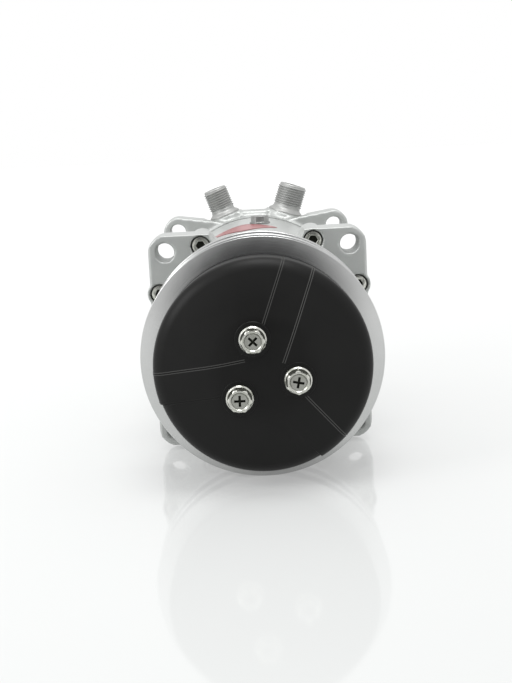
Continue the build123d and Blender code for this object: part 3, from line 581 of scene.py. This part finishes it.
def outer_skin(bm):
    """Faces of the cover that look outwards."""
    heart = Vector((0, -0.055, 0))
    skin = []
    for face in bm.faces:
        middle = face.calc_center_median()
        outward = middle - heart
        if face.normal.dot(outward) > 0.3 * outward.length and middle.y < (SKIRT_Y - 0.3) * MM:
            skin.append(face)
    return skin

def cut_lane(bm, angle):
    along, side = lane_axes(angle)
    offsets = (LIP_START, LANE_HALF, GROOVE_END, LIP_END)
    cuts = [(side * sign * offset * MM, side) for sign in (-1, 1) for offset in offsets]
    cuts += [(along * start * MM, along) for start in (DEEP_START, SCREW_START)]
    for place, normal in cuts:
        skin = [f for f in outer_skin(bm) if f.calc_center_median().dot(along) > 5.0 * MM
                and abs(f.calc_center_median().dot(side)) < 20.0 * MM]
        parts = set(skin) | {e for f in skin for e in f.edges} | {v for f in skin for v in f.verts}
        bmesh.ops.bisect_plane(bm, geom=list(parts), dist=0.01 * MM, plane_co=place, plane_no=normal)

def between(bm, angle, low, high, start):
    """Outer faces of a lane between two offsets from its middle line."""
    along, side = lane_axes(angle)
    found = []
    for face in outer_skin(bm):
        middle = face.calc_center_median() / MM
        if low < middle.dot(side) < high and middle.dot(along) > start:
            found.append(face)
    return found

def press(bm, faces, depth):
    """Moves a patch of skin along its own normals, with walls round it."""
    aim = {}
    for face in faces:
        for corner in face.verts:
            spot = tuple(round(c, 7) for c in corner.co)
            aim[spot] = aim.get(spot, Vector()) + face.normal
    made = bmesh.ops.extrude_face_region(bm, geom=faces)["geom"]
    bmesh.ops.delete(bm, geom=[f for f in faces if f.is_valid], context="FACES_ONLY")
    for corner in [g for g in made if isinstance(g, bmesh.types.BMVert)]:
        corner.co += aim[tuple(round(c, 7) for c in corner.co)].normalized() * depth * MM

def cover_shell():
    bm = spun([(0, SEAT_Y + 0.3), (24.5, SEAT_Y + 0.3), (53.7, -85.2), (57.6, -81.2), (56.5, SKIRT_Y),
               (54.0, SKIRT_Y), (54.9, -79.7), (52.1, -82.5), (24.0, SEAT_Y + 2.5), (0, SEAT_Y + 2.5)],
              (6.0, 2.2, 2.0, 0.5, 0.5, 1.5, 1.5, 3.0), 180)
    for angle in LANES:
        cut_lane(bm, angle)
    low_sector(bm)
    lip = bm.faces.layers.float.new("lip")
    for angle, sign, depth, start, lip_shine in GROOVES:
        for near, far, rise in ((LANE_HALF, GROOVE_END, -depth), (LIP_START, LANE_HALF, LIP_RISE),
                                (GROOVE_END, LIP_END, LIP_RISE)):
            strip = between(bm, angle, *sorted((sign * near, sign * far)), start)
            for face in strip:
                # The lips get their painted highlight value; the pressed groove gets none.
                face[lip] = lip_shine if rise > 0 else 0.0
            press(bm, strip, rise)
    return bm

def low_sector(bm):
    """The sector between the lower two lanes stands a little lower at the rim."""
    (_, left_side), (_, right_side) = lane_axes(LANES[1]), lane_axes(LANES[2])
    edge = (LIP_END - 0.01) * MM
    moved = set()
    for face in outer_skin(bm):
        middle = face.calc_center_median()
        if middle.dot(left_side) > edge and middle.dot(right_side) < -edge and middle.z < 0:
            moved |= set(face.verts)
    for corner in moved:
        reach = hypot(corner.co.x, corner.co.z) / MM
        share = min(max((reach - SECTOR_FROM) / SECTOR_RUN, 0), 1)
        out = Vector((corner.co.x, 0, corner.co.z)).normalized()
        corner.co -= out * SECTOR_DROP * share * MM

def add_seat_rings(bm):
    """A faint raised ring round each screw."""
    for angle in SCREW_ANGLES:
        ring = spun([(0, SEAT_Y + 0.6), (0, SEAT_Y), (9.2, SEAT_Y), (9.5, SEAT_Y + 0.6)], (0, 0.2), 48)
        middle = Vector((cos(radians(angle)), 0, sin(radians(angle)))) * SCREW_RING * MM
        bmesh.ops.translate(ring, verts=ring.verts, vec=middle)
        join(bm, ring)

def join(bm, other):
    """Adds another mesh to this one, attributes and all."""
    mesh = bpy.data.meshes.new("joined")
    other.to_mesh(mesh)
    other.free()
    bm.from_mesh(mesh)
    bpy.data.meshes.remove(mesh)

shell = cover_shell()
add_seat_rings(shell)
cover = new_piece("clutch_cover", shell, "black_nylon", sharp=35)
keep(cover, "dust_cover")
soft_edges = cover.modifiers.new("moulded_edges", "BEVEL")
soft_edges.width, soft_edges.segments, soft_edges.limit_method = 0.22 * MM, 2, "ANGLE"
soft_edges.angle_limit, soft_edges.use_clamp_overlap = radians(35), True
print("cover seat at", round(SEAT_Y, 2), "faces", len(cover.data.polygons))

# %% [markdown]
# The three cover screws are hexagon flange screws with a dished top and a
# cross recess. Each is turned first, its six flats are then pressed in, and
# four plane cuts across the dish's floor mark the cross that is driven in.

# %% Cover screws
SCREW_TURNS = ((45.0, 30.0), (0.0, 85.0), (-12.0, 60.0))    # the turn of each one's cross and flats
ARM_W, ARM_L, RECESS_DEPTH, RECESS_TAPER = 0.62, 2.9, 1.8, 0.7
HEX_FLAT, HEX_CORNER, FLANGE_R, FLANGE_T = 5.55, 6.35, 7.25, 1.7
DISH_R, DISH_DEPTH, SHANK_R = 4.3, 0.9, 2.5
screw_low, screw_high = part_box("cover_screws")
HEAD_Y, TIP_Y = screw_low.y / MM, screw_high.y / MM

def screw_blank(turn):
    """Turned head and shank, with the six flats pressed to size."""
    bm = spun([(0, TIP_Y), (SHANK_R, TIP_Y), (SHANK_R, SEAT_Y), (FLANGE_R, SEAT_Y),
               (FLANGE_R, SEAT_Y - 0.9), (HEX_CORNER + 0.1, SEAT_Y - FLANGE_T),
               (HEX_CORNER, SEAT_Y - FLANGE_T - 0.05),
               (HEX_CORNER, HEAD_Y + 0.5), (HEX_FLAT - 0.1, HEAD_Y), (DISH_R + 0.5, HEAD_Y),
               (DISH_R, HEAD_Y + DISH_DEPTH - 0.2), (DISH_R - 0.3, HEAD_Y + DISH_DEPTH)],
              (0.4, 0, 0.2, 0.25, 0, 0, 0.15, 0.15, 0.15, 0), 96)
    place = Matrix.Translation((0, (HEAD_Y + DISH_DEPTH) * MM, 0)) @ Matrix.Rotation(pi / 2, 4, "X")
    bmesh.ops.create_circle(bm, cap_ends=True, segments=96, radius=(DISH_R - 0.3) * MM, matrix=place)
    bmesh.ops.remove_doubles(bm, verts=bm.verts, dist=0.01 * MM)
    for corner in bm.verts:
        radius = hypot(corner.co.x, corner.co.z) / MM
        if corner.co.y / MM < SEAT_Y - FLANGE_T and radius > 1:
            lean = (degrees(atan2(corner.co.z, corner.co.x)) - turn + 30) % 60 - 30
            share = min(1.0, HEX_FLAT / cos(radians(lean)) / radius)
            corner.co.x, corner.co.z = corner.co.x * share, corner.co.z * share
    return bm

def drive_cross(bm, twist):
    floor_y = HEAD_Y + DISH_DEPTH
    def floor():
        return [f for f in bm.faces if abs(f.calc_center_median().y / MM - floor_y) < 0.05
                and f.calc_center_median().xz.length < (DISH_R - 0.5) * MM]
    across = [Vector((cos(radians(twist + t)), 0, sin(radians(twist + t)))) for t in (0, 90)]
    for direction in across:
        for offset in (-ARM_L, -ARM_W, ARM_W, ARM_L):
            disc = floor()
            parts = set(disc) | {e for f in disc for e in f.edges} | {v for f in disc for v in f.verts}
            bmesh.ops.bisect_plane(bm, geom=list(parts), dist=0.001 * MM,
                                   plane_co=direction * offset * MM, plane_no=direction)
    plus = []
    for face in floor():
        u, v = [abs(face.calc_center_median().dot(d)) / MM for d in across]
        if max(u, v) < ARM_L and min(u, v) < ARM_W:
            plus.append(face)
    made = bmesh.ops.extrude_face_region(bm, geom=plus)["geom"]
    bmesh.ops.delete(bm, geom=[f for f in plus if f.is_valid], context="FACES_ONLY")
    for corner in [g for g in made if isinstance(g, bmesh.types.BMVert)]:
        corner.co.x, corner.co.z = RECESS_TAPER * corner.co.x, RECESS_TAPER * corner.co.z
        corner.co.y += RECESS_DEPTH * MM
    return floor_y

def shade_recesses(bm, floor_y):
    """Marks the recess, the dish's corner and the foot of the hexagon for painted shade."""
    # The layer holds painted shade for the recess, the dish's corner and the hexagon's foot.
    grime = bm.faces.layers.float.new("grime")
    for face in bm.faces:
        middle = face.calc_center_median() / MM
        reach = hypot(middle.x, middle.z)
        if reach < DISH_R and floor_y + 0.1 < middle.y < floor_y + RECESS_DEPTH + 0.1:
            face[grime] = 1.0
        elif abs(middle.y - floor_y) < 0.4 and DISH_R - 0.35 < reach < DISH_R + 0.3:
            face[grime] = 0.8
        elif reach < DISH_R and abs(middle.y - floor_y) < 0.05:
            face[grime] = 0.35
        elif abs(middle.y - (SEAT_Y - FLANGE_T)) < 0.15 and reach < HEX_CORNER + 0.1:
            face[grime] = 0.9

def cover_screw_set():
    whole = bmesh.new()
    # An empty painted-shade layer, so that each screw's layer joins into it.
    whole.faces.layers.float.new("grime")
    for angle, (twist, turn) in zip(SCREW_ANGLES, SCREW_TURNS):
        bm = screw_blank(turn)
        shade_recesses(bm, drive_cross(bm, twist))
        middle = Vector((cos(radians(angle)), 0, sin(radians(angle)))) * SCREW_RING * MM
        bmesh.ops.recalc_face_normals(bm, faces=bm.faces)
        bmesh.ops.translate(bm, verts=bm.verts, vec=middle)
        join(whole, bm)
    return whole

screws = new_piece("cover_screws_driven", cover_screw_set(), "zinc_steel", sharp=30)
keep(screws, "cover_screws")
print("cover screw faces", len(screws.data.polygons), "heads at", round(HEAD_Y, 2))

# %% [markdown]
# The stage is a plain white table that mirrors a little, under a white tent.
# A tent has an opening where the viewer stands, and the polished face of the
# pulley shows it as a grey patch.

# %% Table
def table_top():
    bm = bmesh.new()
    bmesh.ops.create_grid(bm, x_segments=1, y_segments=1, size=6.0)
    bmesh.ops.translate(bm, verts=bm.verts, vec=(0, 0, cad_low.z))
    mesh = bpy.data.meshes.new("table_top")
    bm.to_mesh(mesh)
    bm.free()
    top = Finish("white_table", Metallic=0.0, Roughness=0.05, Base_Color=(0.41, 0.42, 0.415, 1))
    top.shader.inputs["Specular IOR Level"].default_value = 0.30
    top.shader.inputs["Emission Color"].default_value = (1, 1, 1, 1)
    top.shader.inputs["Emission Strength"].default_value = 0.32
    top.feed("Roughness", 0.05 + 0.02 * top.noise(0.002, 1.0))
    mesh.materials.append(top.material)
    table = bpy.data.objects.new("table_top", mesh)
    bpy.context.scene.collection.objects.link(table)

table_top()
print("table at", round(cad_low.z / MM, 2), "mm")

# %% Tent and lamps
def tent():
    world = bpy.data.worlds.new("white_tent")
    world.use_nodes = True
    bpy.context.scene.world = world
    tree = world.node_tree
    background = tree.nodes["Background"]
    coord = tree.nodes.new("ShaderNodeTexCoord")
    aim = tree.nodes.new("ShaderNodeVectorMath")
    aim.operation = "DISTANCE"
    aim.inputs[1].default_value = (0.0, -1.0, 0.16)
    ramp = tree.nodes.new("ShaderNodeValToRGB")
    opening, cloth = ramp.color_ramp.elements
    opening.position, opening.color = 0.20, (0.04, 0.04, 0.042, 1)
    cloth.position, cloth.color = 0.50, (1, 1, 1, 1)
    tree.links.new(coord.outputs["Generated"], aim.inputs[0])
    tree.links.new(aim.outputs["Value"], ramp.inputs["Fac"])
    tree.links.new(ramp.outputs["Color"], background.inputs["Color"])
    background.inputs["Strength"].default_value = 1.0

def lamp(name, place, size, watts):
    light = bpy.data.lights.new(name, "AREA")
    light.shape, light.size, light.energy = "DISK", size, watts
    holder = bpy.data.objects.new(name, light)
    bpy.context.scene.collection.objects.link(holder)
    holder.location = place
    holder.rotation_euler = (Vector((0, 0.03, 0)) - Vector(place)).to_track_quat("-Z", "Y").to_euler()

tent()
lamp("overhead_softbox", (0.05, -0.15, 0.9), 0.5, 3.5)
lamp("left_softbox", (-0.8, -0.45, 0.55), 0.5, 3.0)

# %% [markdown]
# The camera looks along the shaft from a little above, almost level, with a
# slight roll, and no shift or depth of field.

# %% Camera
LENS, DISTANCE = 58.87, 659.2
ELEVATION, AZIMUTH, ROLL = radians(10.98), radians(0.25), radians(-2.97)
SIDE_STEP, LIFT = -3.43, -1.89

def camera():
    back = Vector((sin(AZIMUTH) * cos(ELEVATION), -cos(AZIMUTH) * cos(ELEVATION), sin(ELEVATION)))
    right = (-back).cross(Vector((0, 0, 1))).normalized()
    up = right.cross(-back)
    seat = (back * DISTANCE + right * SIDE_STEP + up * LIFT) * MM
    across = right * cos(ROLL) + up * sin(ROLL)
    upward = up * cos(ROLL) - right * sin(ROLL)
    lens = bpy.data.cameras.new("camera")
    lens.lens, lens.sensor_width, lens.sensor_fit = LENS, 36.0, "AUTO"
    lens.clip_start, lens.clip_end = 0.01, 50.0
    viewer = bpy.data.objects.new("camera", lens)
    viewer.matrix_world = Matrix((across, upward, back)).transposed().to_4x4()
    viewer.location = seat
    bpy.context.scene.collection.objects.link(viewer)
    bpy.context.scene.camera = viewer
    return seat

bpy.context.scene.view_settings.view_transform = "Standard"
print("camera at", [round(v, 3) for v in camera()])

# %% Update the scene
bpy.context.view_layer.update()
